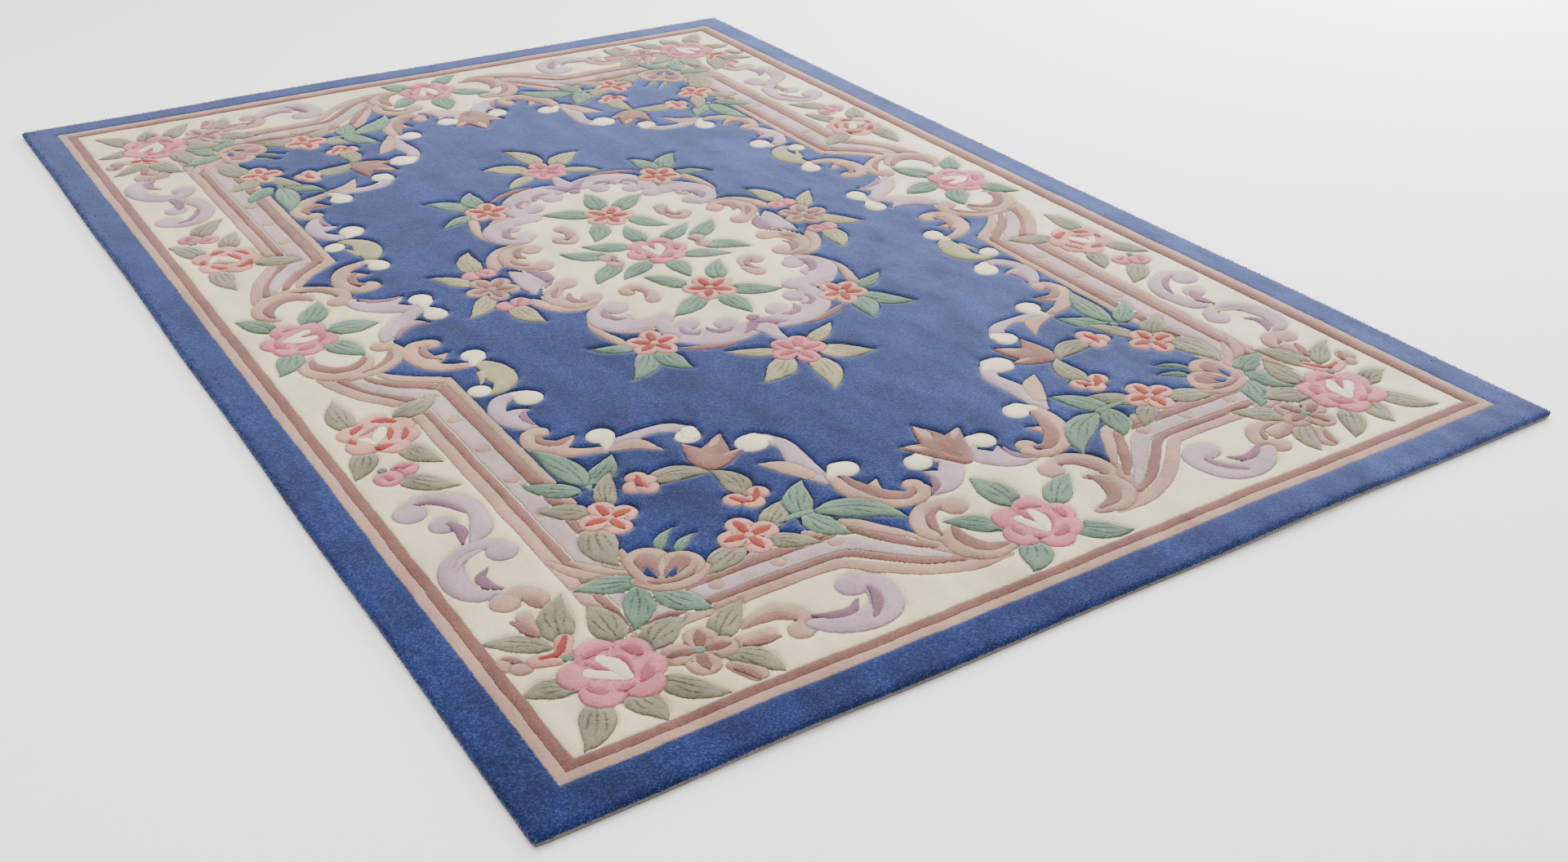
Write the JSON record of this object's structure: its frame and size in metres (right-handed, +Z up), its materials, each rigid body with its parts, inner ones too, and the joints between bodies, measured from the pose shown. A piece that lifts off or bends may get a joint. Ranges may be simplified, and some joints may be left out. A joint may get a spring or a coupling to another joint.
{
  "type": "hand-tufted floral wool rug",
  "caption": "Rectangular tufted wool rug lying flat, with a plain border, a flowered band inside a scrolled moulding, a floral field and a medallion; canvas back rests on a floor.",
  "frame": {"origin": "middle of the rug's footprint, at floor level", "axes": "+X along the short side, +Y along the long side, +Z up out of the pile"},
  "size_m": [2, 2.9, 0.0193],
  "materials": {
    "wool": "dense sheared wool pile, matt with a soft sheen, motifs in cream, rose, coral, lavender, sage and teal, carved along their edges",
    "canvas": "plain-woven grey-tan cotton canvas, matt"
  },
  "bodies": {
    "root": {"wool_pile": "wool", "backing_canvas": "canvas"}
  },
  "joints": []
}
